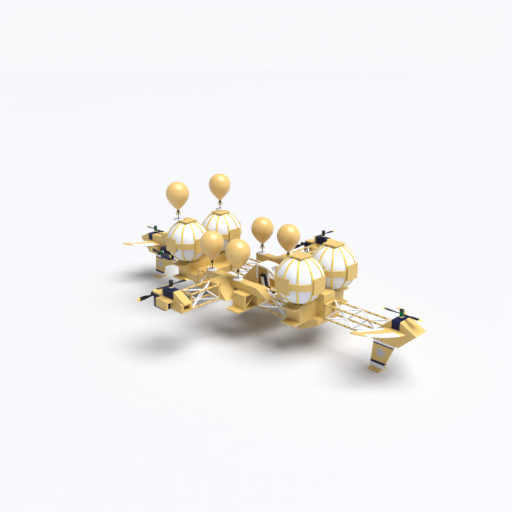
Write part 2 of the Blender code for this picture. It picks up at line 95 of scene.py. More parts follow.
def mixed(tree, factor, one, two):
    """Blends two colours, each a constant or a socket, and gives the socket of the blend."""
    node = add(tree, "ShaderNodeMix")
    node.data_type = "RGBA"
    tree.links.new(factor, node.inputs["Factor"])
    for entry, colour in ((MIX_A, one), (MIX_B, two)):
        if isinstance(colour, tuple):
            node.inputs[entry].default_value = (*colour, 1.0)
        else:
            tree.links.new(colour, node.inputs[entry])
    return node.outputs[MIX_OUT]


def finish(name, colour, second, patch, roughness, metallic=0.0, grain=90.0, depth=0.0015):
    """A surface with broad patches of two close colours, uneven gloss and a fine grain."""
    material = bpy.data.materials.new(name)
    material.use_nodes = True
    tree = material.node_tree
    shader = preset(tree.nodes["Principled BSDF"], Metallic=metallic)
    where = add(tree, "ShaderNodeTexCoord")
    broad = add(tree, "ShaderNodeTexNoise", Scale=patch, Detail=4.0, Distortion=0.3)
    gloss = add(tree, "ShaderNodeMapRange", From_Min=0.3, From_Max=0.7,
                To_Min=roughness - GLOSS_SPREAD, To_Max=roughness + GLOSS_SPREAD)
    fine = add(tree, "ShaderNodeTexNoise", Scale=grain, Detail=3.0)
    bump = add(tree, "ShaderNodeBump", Strength=0.4, Distance=depth)
    chain(tree, (where, "Object", broad, "Vector"), (broad, "Fac", gloss, "Value"),
          (gloss, "Result", shader, "Roughness"), (where, "Object", fine, "Vector"),
          (fine, "Fac", bump, "Height"), (bump, "Normal", shader, "Normal"))
    tree.links.new(mixed(tree, broad.outputs["Fac"], colour, second), shader.inputs["Base Color"])
    return material


def made(builder, name):
    """Turns a builder into a mesh and lets the builder go."""
    mesh = bpy.data.meshes.new(name)
    builder.to_mesh(mesh)
    builder.free()
    return mesh


def shown(name, mesh, body, materials=()):
    """A finished piece: its mesh is already in place, and it rides on a body."""
    item = bpy.data.objects.new(name, mesh)
    scene.collection.objects.link(item)
    for material in materials:
        mesh.materials.append(material)
    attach(item, body)
    return item


scene = bpy.context.scene
scene.view_settings.view_transform = "Standard"
lens = bpy.data.cameras.new("camera")
lens.sensor_width = SENSOR
lens.lens = FOCAL_PIXELS * SENSOR / FRAME_PIXELS
lens.clip_end = FLOOR_REACH
camera = bpy.data.objects.new("camera", lens)
backwards = Vector((math.sin(VIEW_AZIMUTH) * math.cos(VIEW_ELEVATION),
                    -math.cos(VIEW_AZIMUTH) * math.cos(VIEW_ELEVATION), math.sin(VIEW_ELEVATION)))
camera.location = VIEW_FROM
camera.rotation_mode = "QUATERNION"
camera.rotation_quaternion = backwards.to_track_quat("Z", "Y")
scene.collection.objects.link(camera)
scene.camera = camera

world = bpy.data.worlds.new("sky")
world.use_nodes = True
sky_tree = world.node_tree
way = add(sky_tree, "ShaderNodeTexCoord")
upward = add(sky_tree, "ShaderNodeSeparateXYZ")
height = add(sky_tree, "ShaderNodeMapRange", From_Min=HORIZON_TOP, From_Max=ZENITH_FROM)
chain(sky_tree, (way, "Generated", upward, "Vector"), (upward, "Z", height, "Value"))
sky_tree.links.new(mixed(sky_tree, height.outputs["Result"], HORIZON_COLOUR, ZENITH_COLOUR),
                   sky_tree.nodes["Background"].inputs["Color"])
scene.world = world

lamp_data = bpy.data.lights.new("lamp", "SUN")
lamp_data.energy = LAMP_POWER
lamp_data.angle = LAMP_SPREAD
lamp_data.color = LAMP_COLOUR
lamp = bpy.data.objects.new("lamp", lamp_data)
lamp.rotation_mode = "QUATERNION"
lamp.rotation_quaternion = Vector(LAMP_AIM).to_track_quat("-Z", "Y")
scene.collection.objects.link(lamp)

floor_builder = bmesh.new()
bmesh.ops.create_grid(floor_builder, x_segments=1, y_segments=1, size=FLOOR_REACH)
floor_mesh = made(floor_builder, "floor")
floor_mesh.materials.append(finish("floor_paper", FLOOR_COLOUR, FLOOR_COLOUR, 0.2, 0.9))
floor = bpy.data.objects.new("floor", floor_mesh)
scene.collection.objects.link(floor)

# Trusses
# Eight open girders join the cradles, the nose, the tail and the arms. Gold round chords
# carry clamps at each bay and half bay, and white tubes zigzag between the chords.
CHORD_R = 0.056
CHORD_SIDES = 16
CHORD_INSET = 0.062
CHORD_CLEAR = 0.001
BRACE_R = 0.042
BRACE_SIDES = 12
CLAMP_R = 0.0615
CLAMP_L = 0.09
CLAMP_SIDES = 16
UPRIGHT = (0.0, 0.0, 1.0)


def worn(material, bare, patch):
    """Scuffs the paint where a piece's edges say so, in broken patches."""
    tree = material.node_tree
    shader = tree.nodes["Principled BSDF"]
    paint = shader.inputs["Base Color"].links[0].from_socket
    where = tree.nodes["Texture Coordinate"]
    edge = add(tree, "ShaderNodeAttribute")
    edge.attribute_name = "wear"
    scuffs = add(tree, "ShaderNodeTexNoise", Scale=patch, Detail=6.0)
    broken = add(tree, "ShaderNodeMapRange", From_Min=0.5, From_Max=0.72, To_Max=0.75)
    both = add(tree, "ShaderNodeMath")
    both.operation = "MULTIPLY"
    chain(tree, (where, "Object", scuffs, "Vector"), (scuffs, "Fac", broken, "Value"),
          (edge, "Fac", both, 0), (broken, "Result", both, 1))
    tree.links.new(mixed(tree, both.outputs["Value"], paint, bare), shader.inputs["Base Color"])
    return material


gold = worn(finish("gold_paint", (0.625, 0.432, 0.131), (0.685, 0.475, 0.150), 1.3, 0.42),
            (0.86, 0.74, 0.48), 7.0)
bronze = finish("clamp_bronze", (0.34, 0.21, 0.045), (0.43, 0.27, 0.065), 3.0, 0.4, 0.2)
white = finish("white_enamel", (0.78, 0.80, 0.87), (0.83, 0.85, 0.90), 2.0, 0.38)


def new_tree(name, **kinds):
    """A tree of Geometry Nodes with its inputs; gives the tree, its way in and its way out."""
    tree = bpy.data.node_groups.new(name, "GeometryNodeTree")
    tree.interface.new_socket("Geometry", in_out="INPUT", socket_type="NodeSocketGeometry")
    for label, kind in kinds.items():
        tree.interface.new_socket(label, in_out="INPUT", socket_type="NodeSocket" + kind)
    tree.interface.new_socket("Paint", in_out="INPUT", socket_type="NodeSocketMaterial")
    tree.interface.new_socket("Geometry", in_out="OUTPUT", socket_type="NodeSocketGeometry")
    return tree, add(tree, "NodeGroupInput"), add(tree, "NodeGroupOutput")


def close_tree(tree, source, output, way_in, way_out):
    """Every tree ends in real geometry with its paint on."""
    real = add(tree, "GeometryNodeRealizeInstances")
    coat = add(tree, "GeometryNodeSetMaterial")
    chain(tree, (source, output, real, "Geometry"), (real, "Geometry", coat, "Geometry"),
          (way_in, "Paint", coat, "Material"), (coat, "Geometry", way_out, "Geometry"))
    return tree


def tube_tree():
    """A round tube along each line."""
    tree, way_in, way_out = new_tree("tubes", Radius="Float", Sides="Int")
    line = add(tree, "GeometryNodeMeshToCurve")
    ring = add(tree, "GeometryNodeCurvePrimitiveCircle")
    sweep = add(tree, "GeometryNodeCurveToMesh", Fill_Caps=True)
    soft = add(tree, "GeometryNodeSetShadeSmooth")
    chain(tree, (way_in, "Geometry", line, "Mesh"), (way_in, "Radius", ring, "Radius"),
          (way_in, "Sides", ring, "Resolution"), (line, "Curve", sweep, "Curve"),
          (ring, "Curve", sweep, "Profile Curve"), (sweep, "Mesh", soft, "Geometry"))
    return close_tree(tree, soft, "Geometry", way_in, way_out)


def spaced(tree, way_in):
    """Points at an even spacing along each line."""
    line = add(tree, "GeometryNodeMeshToCurve")
    even = add(tree, "GeometryNodeResampleCurve")
    even.mode = "LENGTH"
    chain(tree, (way_in, "Geometry", line, "Mesh"), (line, "Curve", even, "Curve"),
          (way_in, "Spacing", even, "Length"))
    return even


def collar_tree():
    """Short sleeves at an even spacing along each line."""
    tree, way_in, way_out = new_tree("collars", Radius="Float", Length="Float", Spacing="Float")
    sleeve = add(tree, "GeometryNodeMeshCylinder", Vertices=CLAMP_SIDES)
    along = add(tree, "GeometryNodeInputTangent")
    turn = add(tree, "FunctionNodeAlignRotationToVector")
    turn.axis = "Z"
    put = add(tree, "GeometryNodeInstanceOnPoints")
    chain(tree, (way_in, "Radius", sleeve, "Radius"), (way_in, "Length", sleeve, "Depth"),
          (along, "Tangent", turn, "Vector"), (spaced(tree, way_in), "Curve", put, "Points"),
          (sleeve, "Mesh", put, "Instance"), (turn, "Rotation", put, "Rotation"))
    return close_tree(tree, put, "Instances", way_in, way_out)


def grown(name, tree, lines, **values):
    """Runs a tree on lines, each a list of points or that and its way up, and keeps a plain mesh."""
    builder = bmesh.new()
    up = builder.verts.layers.float_vector.new("up")
    for line in lines:
        points, lift = line if isinstance(line, tuple) else (line, UPRIGHT)
        last = None
        for point in points:
            vertex = builder.verts.new(point)
            vertex[up] = lift
            if last:
                builder.edges.new((last, vertex))
            last = vertex
    seed = bpy.data.objects.new(name + "_seed", made(builder, name))
    scene.collection.objects.link(seed)
    step = seed.modifiers.new("grow", "NODES")
    step.node_group = tree
    for socket in tree.interface.items_tree:
        if socket.in_out == "INPUT" and socket.name in values:
            step[socket.identifier] = values[socket.name]
    bpy.context.view_layer.update()
    graph = bpy.context.evaluated_depsgraph_get()
    result = bpy.data.meshes.new_from_object(seed.evaluated_get(graph))
    bpy.data.objects.remove(seed, do_unlink=True)
    result.name = name
    return result


def detail(name, slot, tree, lines, **values):
    """Grows a piece on the hull and shows it."""
    return shown(name, grown(name, tree, lines, **values), HULL)


def truss_lines(low, high):
    """The centre lines of a truss's chords, end frames and braces, and its bay, from its box."""
    size = high - low
    axis = max(range(3), key=lambda i: size[i])
    across = [i for i in range(3) if i != axis]

    def at(level, corner):
        point = Vector((0.0, 0.0, 0.0))
        point[axis] = level
        for step, i in enumerate(across):
            far = corner in ((1, 2), (2, 3))[step]
            point[i] = high[i] - CHORD_INSET if far else low[i] + CHORD_INSET
        return point

    bays = max(1, round(size[axis]))
    start, end = low[axis] + CHORD_INSET, high[axis] - CHORD_INSET
    levels = [start + (end - start) * i / bays for i in range(bays + 1)]
    chords, frames, braces = [], [], []
    for corner in range(4):
        after = (corner + 1) % 4
        chords.append([at(low[axis] + CHORD_CLEAR, corner), at(high[axis] - CHORD_CLEAR, corner)])
        for level in (start, end):
            frames.append([at(level, corner), at(level, after)])
        for bay in range(bays):
            turn = (bay + corner) % 2
            braces.append([at(levels[bay], after if turn else corner),
                           at(levels[bay + 1], corner if turn else after)])
    return chords, frames, braces, (end - start) / bays


def named(start):
    """The nodes whose names start so, in order."""
    return sorted(n for n in frame["nodes"] if n.startswith(start))


tubes = tube_tree()
collars = collar_tree()
for node in named("truss_"):
    chords, frames, braces, bay = truss_lines(*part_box(node))
    piece = detail(node + "_chords", "gold", tubes, chords + frames, Radius=CHORD_R, Sides=CHORD_SIDES,
                   Paint=gold)
    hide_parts(node)
    detail(node + "_braces", "canopy", tubes, braces, Radius=BRACE_R, Sides=BRACE_SIDES, Paint=white)
    detail(node + "_clamps", "gold", collars, chords, Radius=CLAMP_R, Length=CLAMP_L, Spacing=bay / 2,
           Paint=bronze)

# Frame blocks
# Folded sheet-metal blocks: cradles, tips, decks, shoulders, outriggers, arm ends, the tub
# and the fairing. Each has rounded edges, and its broad panels have a seam and rows of rivets.
EDGE_R = 0.012
EDGE_SEGMENTS = 2
EDGE_PROFILE = 0.6
FOLD_ANGLE = 15
WELD = 0.0001
FLAT_ANGLE = math.radians(1.0)
PANEL_BORDER = 0.055
PANEL_LEAST = 0.34
MANY_SIDED_LEAST = 0.24
PANEL_BROAD = 0.08
STRAIGHT = 0.01
SEAM_INSET = 0.085
SEAM_W = 0.009
SEAM_DEPTH = 0.007
RIM_WEAR = 0.6
RIVET_R = 0.013
RIVET_STEP = 0.11
RIVET_FLATNESS = 0.45


def rivet_tree():
    """Low domes at an even spacing along each line, standing on the surface beside it."""
    tree, way_in, way_out = new_tree("rivets", Radius="Float", Spacing="Float")
    dome = add(tree, "GeometryNodeMeshIcoSphere", Subdivisions=2)
    low = add(tree, "GeometryNodeTransform", Scale=(1.0, 1.0, RIVET_FLATNESS))
    outward = add(tree, "GeometryNodeInputNamedAttribute")
    outward.data_type = "FLOAT_VECTOR"
    preset(outward, Name="up")
    turn = add(tree, "FunctionNodeAlignRotationToVector")
    turn.axis = "Z"
    put = add(tree, "GeometryNodeInstanceOnPoints")
    chain(tree, (way_in, "Radius", dome, "Radius"), (dome, "Mesh", low, "Geometry"),
          (outward, "Attribute", turn, "Vector"), (spaced(tree, way_in), "Curve", put, "Points"),
          (low, "Geometry", put, "Instance"), (turn, "Rotation", put, "Rotation"))
    return close_tree(tree, put, "Instances", way_in, way_out)


rivets = rivet_tree()


def riveted(name, rows):
    """Rows of rivets on the hull, from lines with the way out of the surface beside them."""
    detail(name, "gold", rivets, rows, Radius=RIVET_R, Spacing=RIVET_STEP, Paint=gold)


def clean_copy(node):
    """The node's solid with its loose triangles merged back into flat faces."""
    builder = bmesh.new()
    builder.from_mesh(frame["nodes"][node].data)
    bmesh.ops.remove_doubles(builder, verts=builder.verts, dist=WELD)
    bmesh.ops.dissolve_limit(builder, angle_limit=FLAT_ANGLE, verts=builder.verts, edges=builder.edges)
    return builder


def sharp_edges(builder, degrees):
    """The edges that bend by more than an angle."""
    limit = math.radians(degrees)
    return [e for e in builder.edges if len(e.link_faces) == 2 and e.calc_face_angle() > limit]


def rounded(builder, edges, radius, segments=3, profile=0.5):
    """Rounds edges and gives the faces that this makes."""
    return bmesh.ops.bevel(builder, geom=edges, offset=radius, segments=segments, profile=profile,
                           affect="EDGES", clamp_overlap=True)["faces"]


def is_panel(face):
    """Whether a flat face is broad enough to carry a border of rivets and a seam."""
    sides = [edge.calc_length() for edge in face.edges]
    if len(sides) == 4:
        return min(sides) > PANEL_LEAST
    if len(sides) < 4 or min(sides) < MANY_SIDED_LEAST or face.calc_area() < sum(sides) * PANEL_BROAD:
        return False
    return all(loop.is_convex for loop in face.loops)


def panel_rows(builder):
    """Lines set in from the border of each panel, mitred at its corners, with the way out of it."""
    rows = []
    for face in builder.faces:
        if not is_panel(face):
            continue
        corners = [v.co.copy() for v in face.verts]
        inner = []
        for i, here in enumerate(corners):
            one = (corners[i - 1] - here).normalized()
            two = (corners[(i + 1) % len(corners)] - here).normalized()
            inward = face.normal.cross(two)
            middle = (one + two).normalized() if (one + two).length > STRAIGHT else inward
            inner.append(here + middle * (PANEL_BORDER / middle.dot(inward)))
        for i in range(len(inner)):
            if (inner[i] - inner[i - 1]).length > RIVET_STEP:
                rows.append(([inner[i - 1], inner[i]], face.normal.copy()))
    return rows


def seamed(builder):
    """Cuts a narrow groove round each panel, inside its rivets. Gives the faces of the borders."""
    faces = [face for face in builder.faces if is_panel(face)]
    borders = []
    for inset, depth in ((SEAM_INSET, 0.0), (SEAM_W, -SEAM_DEPTH), (SEAM_W, SEAM_DEPTH)):
        strips = bmesh.ops.inset_individual(builder, faces=faces, thickness=inset, depth=depth,
                                            use_even_offset=True)["faces"]
        borders = borders or strips
    return borders


def plated(node):
    """Rounds every corner, cuts the panels' seams, rivets them and marks where the paint wears."""
    builder = clean_copy(node)
    rows = panel_rows(builder)
    corners = rounded(builder, sharp_edges(builder, FOLD_ANGLE), EDGE_R, EDGE_SEGMENTS, EDGE_PROFILE)
    rim = set(builder.verts)
    borders = seamed(builder)
    wear = builder.loops.layers.float.new("wear")
    for face in corners:
        for loop in face.loops:
            loop[wear] = 1.0
    for face in borders:
        for loop in face.loops:
            loop[wear] = RIM_WEAR if loop.vert in rim else 0.0
    item = shown(node + "_plating", made(builder, node + "_plating"), HULL, [gold])
    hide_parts(node)
    if rows:
        riveted(node + "_rivets", rows)


for node in ("cradle_front", "cradle_rear", "nose", "tail", "tub", "fairing"):
    plated(node)
for side_name, side in SIDES:
    for block in ("outrigger", "shoulder", "deck", "arm_end"):
        plated(f"{block}_{side_name}")

# Envelopes
# Ten gores of white coated fabric on each, sewn along the ribs, swelling a little between
# them and pinched by the belt. Each is a 10 mm shell that is open at its hemmed mouth below.
GORES = 10
GORE_COLUMNS = 8
GORE_ROWS = 40
MOUTH = math.radians(-72.0)
CROWN = math.radians(88.0)
CROWN_DROP = 1.39
FABRIC_R = 1.388
FABRIC_WALL = 0.01
SWELL = 0.012
BELT_PINCH = math.radians(9.0)
PINCH_END = math.radians(24.0)
HEM_R = 0.014
HEM_STEPS = 40
TRIM_SIDES = 10


def fabric(name, colour, second):
    """A woven coated cloth: crossed threads, faint creases and a soft sheen."""
    material = finish(name, colour, second, 1.1, 0.52)
    tree = material.node_tree
    shader = preset(tree.nodes["Principled BSDF"], Sheen_Weight=0.25)
    where = tree.nodes["Texture Coordinate"]
    crossed = add(tree, "ShaderNodeMath")
    crossed.operation = "MULTIPLY"
    for entry, direction in enumerate("XZ"):
        threads = add(tree, "ShaderNodeTexWave", Scale=60.0)
        threads.bands_direction = direction
        chain(tree, (where, "Object", threads, "Vector"), (threads, "Fac", crossed, entry))
    creases = add(tree, "ShaderNodeTexNoise", Scale=2.2, Distortion=1.2)
    soft = add(tree, "ShaderNodeBump", Strength=0.25, Distance=0.03)
    hard = add(tree, "ShaderNodeBump", Strength=0.3, Distance=0.001)
    chain(tree, (where, "Object", creases, "Vector"), (creases, "Fac", soft, "Height"),
          (crossed, "Value", hard, "Height"), (soft, "Normal", hard, "Normal"),
          (hard, "Normal", shader, "Normal"))
    return material


def ball_point(radius, latitude, longitude):
    return Vector((math.cos(latitude) * math.cos(longitude), math.cos(latitude) * math.sin(longitude),
                   math.sin(latitude))) * radius


def smooth_step(value, low, high):
    share = min(1.0, max(0.0, (value - low) / (high - low)))
    return share * share * (3.0 - 2.0 * share)


def lofted(builder, rings, paint=lambda row, i: 0):
    """Joins closed rings, one after another. The paint of each face comes from its row and place."""
    for row, (one, two) in enumerate(zip(rings, rings[1:])):
        for i in range(len(one)):
            j = (i + 1) % len(one)
            builder.faces.new((one[i], one[j], two[j], two[i])).material_index = paint(row, i)


def gore_mesh(name, centre):
    """All the gores, from the mouth up to the closed crown."""
    builder = bmesh.new()
    count = GORES * GORE_COLUMNS
    rings = []
    for row in range(GORE_ROWS + 1):
        latitude = MOUTH + (CROWN - MOUTH) * row / GORE_ROWS
        free = smooth_step(abs(latitude), BELT_PINCH, PINCH_END) * math.cos(latitude)
        ring = []
        for column in range(count):
            share = (column % GORE_COLUMNS) / GORE_COLUMNS
            radius = FABRIC_R + SWELL * free * math.sin(math.pi * share)
            ring.append(builder.verts.new(centre + ball_point(radius, latitude, math.tau * column / count)))
        rings.append(ring)
    lofted(builder, rings)
    builder.faces.new(rings[-1])
    mesh = made(builder, name)
    mesh.shade_smooth()
    return mesh


envelope_cloth = fabric("envelope_cloth", (0.72, 0.745, 0.81), (0.77, 0.79, 0.84))
thread = finish("seam_thread", (0.60, 0.62, 0.68), (0.68, 0.70, 0.75), 4.0, 0.6)
for end_name, end in ENDS:
    for side_name, side in SIDES:
        node = f"envelope_{end_name}_{side_name}"
        low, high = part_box(node)
        centre = Vector(((low.x + high.x) / 2, (low.y + high.y) / 2, high.z - CROWN_DROP))
        ball = shown(node + "_gores", gore_mesh(node + "_gores", centre), HULL, [envelope_cloth])
        wall = ball.modifiers.new("wall", "SOLIDIFY")
        wall.thickness = FABRIC_WALL
        wall.offset = -1.0
        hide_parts(node)
        hem = [centre + ball_point(FABRIC_R, MOUTH, math.tau * i / HEM_STEPS) for i in range(HEM_STEPS + 1)]
        hem_piece = detail(node + "_hem", "envelope", tubes, [hem], Radius=HEM_R, Sides=TRIM_SIDES,
                           Paint=thread)

# Cages
# Meridian ribs, a wide belt and six square plates hold each envelope. They are pressed from
# gold sheet. Rivets run round the plates, and across the belt on both sides of each rib.
RIB_W = 0.11
RIB_T = 0.045
RIB_CORNER = 0.012
RIB_MIDDLE = 1.415
RIB_END = math.radians(79.5)
RIB_POINTS = 40
RIB_RIVETS = 0.075
BELT_H = 0.4
BELT_INNER = 1.391
BELT_OUTER = 1.438
BELT_EDGE = 0.008
BELT_SIDES = 96
PLATE_HALF = 0.474
PLATE_FACE = 1.449
PLATE_BACK = 1.3905
PLATE_EDGE = 0.009


def rib_tree():
    """One meridian strip, repeated evenly round the upright axis."""
    tree, way_in, way_out = new_tree("ribs", Width="Float", Thickness="Float", Count="Int")
    line = add(tree, "GeometryNodeMeshToCurve")
    untwisted = add(tree, "GeometryNodeSetCurveNormal")
    untwisted.mode = "MINIMUM_TWIST"
    section = add(tree, "GeometryNodeCurvePrimitiveQuadrilateral")
    fillet = add(tree, "GeometryNodeFilletCurve")
    fillet.mode = "POLY"
    preset(fillet, Count=2, Radius=RIB_CORNER)
    sweep = add(tree, "GeometryNodeCurveToMesh", Fill_Caps=True)
    spots = add(tree, "GeometryNodeMeshLine", Offset=(0.0, 0.0, 0.0))
    index = add(tree, "GeometryNodeInputIndex")
    share = add(tree, "ShaderNodeMath")
    share.operation = "DIVIDE"
    angle = add(tree, "ShaderNodeMath")
    angle.operation = "MULTIPLY"
    angle.inputs[1].default_value = math.tau
    spin = add(tree, "ShaderNodeCombineXYZ")
    turn = add(tree, "FunctionNodeEulerToRotation")
    put = add(tree, "GeometryNodeInstanceOnPoints")
    chain(tree, (way_in, "Geometry", line, "Mesh"), (line, "Curve", untwisted, "Curve"),
          (way_in, "Width", section, "Width"), (way_in, "Thickness", section, "Height"),
          (section, "Curve", fillet, "Curve"), (untwisted, "Curve", sweep, "Curve"),
          (fillet, "Curve", sweep, "Profile Curve"), (way_in, "Count", spots, "Count"),
          (index, "Index", share, 0), (way_in, "Count", share, 1), (share, "Value", angle, 0),
          (angle, "Value", spin, "Z"), (spin, "Vector", turn, "Euler"),
          (spots, "Mesh", put, "Points"), (sweep, "Mesh", put, "Instance"),
          (turn, "Rotation", put, "Rotation"))
    return close_tree(tree, put, "Instances", way_in, way_out)


def along(axis, level):
    """A step along one axis."""
    step = Vector((0.0, 0.0, 0.0))
    step[axis] = level
    return step


def add_plate(builder, axis, sign):
    """A flat square plate with rounded edges."""
    plate = bmesh.new()
    bmesh.ops.create_cube(plate, size=1.0)
    size = [2.0 * PLATE_HALF] * 3
    size[axis] = PLATE_FACE - PLATE_BACK
    bmesh.ops.scale(plate, verts=plate.verts, vec=size)
    bmesh.ops.translate(plate, verts=plate.verts, vec=along(axis, sign * (PLATE_FACE + PLATE_BACK) / 2))
    rounded(plate, plate.edges[:], PLATE_EDGE)
    scrap = made(plate, "plate_scrap")
    builder.from_mesh(scrap)
    bpy.data.meshes.remove(scrap)


def belt_and_plates(name, centre):
    """The belt, turned from its section, and the six plates."""
    builder = bmesh.new()
    top = BELT_H / 2
    section = [(BELT_INNER, top), (BELT_OUTER - BELT_EDGE, top), (BELT_OUTER, top - BELT_EDGE),
               (BELT_OUTER, BELT_EDGE - top), (BELT_OUTER - BELT_EDGE, -top), (BELT_INNER, -top)]
    rings = []
    for i in range(BELT_SIDES):
        angle = math.tau * i / BELT_SIDES
        rings.append([builder.verts.new((r * math.cos(angle), r * math.sin(angle), z)) for r, z in section])
    lofted(builder, rings + rings[:1])
    for axis in range(3):
        for sign in (-1, 1):
            add_plate(builder, axis, sign)
    bmesh.ops.translate(builder, verts=builder.verts, vec=centre)
    return made(builder, name)


def cage_rows(centre):
    """The lines of rivets on a cage, each with the way out of the surface."""
    rows = []
    reach = PLATE_HALF - PANEL_BORDER
    for axis in range(3):
        one, two = [i for i in range(3) if i != axis]
        for sign in (-1, 1):
            square = [centre + along(axis, sign * PLATE_FACE) + along(one, a * reach) + along(two, b * reach)
                      for a, b in ((-1, -1), (1, -1), (1, 1), (-1, 1))]
            rows += [([square[i - 1], square[i]], along(axis, sign)) for i in range(4)]
    upright = along(2, BELT_H / 2 - PANEL_BORDER)
    for i in range(GORES * 2):
        angle = math.tau * (i // 2) / GORES + (RIB_RIVETS if i % 2 else -RIB_RIVETS)
        out = Vector((math.cos(angle), math.sin(angle), 0.0))
        rows.append(([centre + out * BELT_OUTER - upright, centre + out * BELT_OUTER + upright], out))
    return rows


ribs = rib_tree()
rib_gold = finish("rib_gloss", (0.74, 0.53, 0.075), (0.80, 0.60, 0.11), 2.0, 0.26)
meridian = [ball_point(RIB_MIDDLE, RIB_END * (2.0 * i / RIB_POINTS - 1.0), 0.0)
            for i in range(RIB_POINTS + 1)]
for end_name, end in ENDS:
    for side_name, side in SIDES:
        node = f"cage_{end_name}_{side_name}"
        low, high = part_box(node)
        centre = (low + high) / 2
        mesh = belt_and_plates(node + "_plates", centre)
        piece = shown(node + "_plates", mesh, HULL, [gold])
        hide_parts(node)
        strips = grown(node + "_ribs", ribs, [meridian], Width=RIB_W, Thickness=RIB_T, Count=GORES,
                       Paint=rib_gold)
        strips.transform(Matrix.Translation(centre))
        shown(node + "_ribs", strips, HULL)
        riveted(node + "_rivets", cage_rows(centre))

# Engines
# Navy boxes with rounded edges and a row of cooling slats on two sides. A short boss on the
# shaft side, which is part of the solid, carries the propeller.
CASE_ANGLE = 30
CASE_EDGE = 0.3
CASE_R = 0.02
BOSS_REACH = 0.17
LOUVRES = 6
LOUVRE_R = 0.016
LOUVRE_FOOT = 0.18
LOUVRE_SPREAD = 0.64
LOUVRE_SPAN = (0.14, 0.86)
NAVY_SHINE = 0.22
navy = finish("navy_gloss", (0.006, 0.010, 0.050), (0.011, 0.018, 0.080), 2.4, 0.32, 0.1)
preset(navy.node_tree.nodes["Principled BSDF"], Specular_IOR_Level=NAVY_SHINE)
SHAFTS = {j["child"]: (Vector(j["pos_m"]), Vector(j["axis"])) for j in frame["joints"]}
for node in named("engine_"):
    builder = clean_copy(node)
    rounded(builder, [e for e in sharp_edges(builder, CASE_ANGLE) if e.calc_length() > CASE_EDGE], CASE_R)
    piece = shown(node + "_case", made(builder, node + "_case"), HULL, [navy])
    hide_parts(node)
    low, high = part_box(node)
    shaft = SHAFTS[node.replace("engine", "propeller")][1]
    for i in range(3):
        if shaft[i] > 0.5:
            high[i] -= BOSS_REACH
        elif shaft[i] < -0.5:
            low[i] += BOSS_REACH
    across = 0 if abs(shaft.x) < 0.5 else 1
    lengthways = 1 - across
    lines = []
    for face in (low[across], high[across]):
        for i in range(LOUVRES):
            level = low.z + (high.z - low.z) * (LOUVRE_FOOT + LOUVRE_SPREAD * i / (LOUVRES - 1))
            start = along(2, level) + along(across, face) + along(lengthways, low[lengthways])
            reach = along(lengthways, high[lengthways] - low[lengthways])
            lines.append([start + reach * share for share in LOUVRE_SPAN])
    detail(node + "_louvres", "navy", tubes, lines, Radius=LOUVRE_R, Sides=TRIM_SIDES, Paint=navy)

# Propellers
# A tall hub with a black cap, a yellow ring and a white washer at its foot, green lacquered at
# the nose, the tail and the side, and two slightly twisted black blades with yellow tips.
HUB_SECTION = [(0.0, 0.0, 2), (0.10, 0.0, 2), (0.13, 0.012, 2), (0.13, 0.05, 1), (0.095, 0.06, 0),
               (0.10, 0.12, 0), (0.118, 0.20, 0), (0.122, 0.34, 3), (0.13, 0.35, 3), (0.13, 0.41, 3),
               (0.10, 0.445, 3), (0.0, 0.45, 3)]
HUB_SIDES = 40
BLADE_ROWS = [(0.06, 0.05, 0.06), (0.27, 0.06, 0.05), (0.45, 0.085, 0.042), (0.68, 0.125, 0.034),
              (0.90, 0.13, 0.028), (1.02, 0.128, 0.026), (1.16, 0.118, 0.025), (1.20, 0.10, 0.02)]
BLADE_H = 0.18
BLADE_PITCH = 0.07
BLADE_SIDES = 12
BLADE_PAINT, TIP_PAINT = 3, 1
TIP_FROM = 5
HUB_CREASE = 40
GREEN_HUBS = ("propeller_nose", "propeller_tail", "propeller_side")
black = finish("black_gloss", (0.006, 0.006, 0.008), (0.012, 0.012, 0.014), 3.0, 0.3)
yellow = finish("yellow_gloss", (0.80, 0.60, 0.10), (0.86, 0.68, 0.15), 3.0, 0.35)
green = finish("green_lacquer", (0.004, 0.17, 0.075), (0.008, 0.28, 0.13), 3.0, 0.2, 0.6)


def lathe(builder, profile, sides, centre):
    """Turns a profile of (radius, height, paint of the face above) round an upright axis."""
    rings = []
    for radius, height, paint in profile:
        angles = [math.tau * i / sides for i in range(sides)] if radius else [0.0]
        rings.append([builder.verts.new(centre + Vector((radius * math.cos(a), radius * math.sin(a), height)))
                      for a in angles])
    for below, above, row in zip(rings, rings[1:], profile):
        for i in range(sides):
            j = (i + 1) % sides
            if len(below) == 1:
                corners = (below[0], above[j], above[i])
            elif len(above) == 1:
                corners = (below[i], below[j], above[0])
            else:
                corners = (below[i], below[j], above[j], above[i])
            builder.faces.new(corners).material_index = row[2]


def creased(mesh, degrees):
    """Shades a mesh smooth but for the edges that bend by more than an angle."""
    mesh.shade_smooth()
    mesh.set_sharp_from_angle(angle=math.radians(degrees))
    return mesh


def blade_mesh(builder, way):
    """One blade along Y, lens-shaped across. Its rows are distance out, half width and thickness."""
    rings = []
    for out, half, thick in BLADE_ROWS:
        ring = []
        for i in range(BLADE_SIDES):
            angle = math.tau * i / BLADE_SIDES
            across = half * math.cos(angle)
            up = thick / 2 * math.sin(angle) + way * BLADE_PITCH * across
            ring.append(builder.verts.new((-across, way * out, BLADE_H + up)))
        rings.append(ring)
    lofted(builder, rings, lambda row, i: TIP_PAINT if row >= TIP_FROM else BLADE_PAINT)
    builder.faces.new(rings[0]).material_index = BLADE_PAINT
    builder.faces.new(rings[-1]).material_index = TIP_PAINT


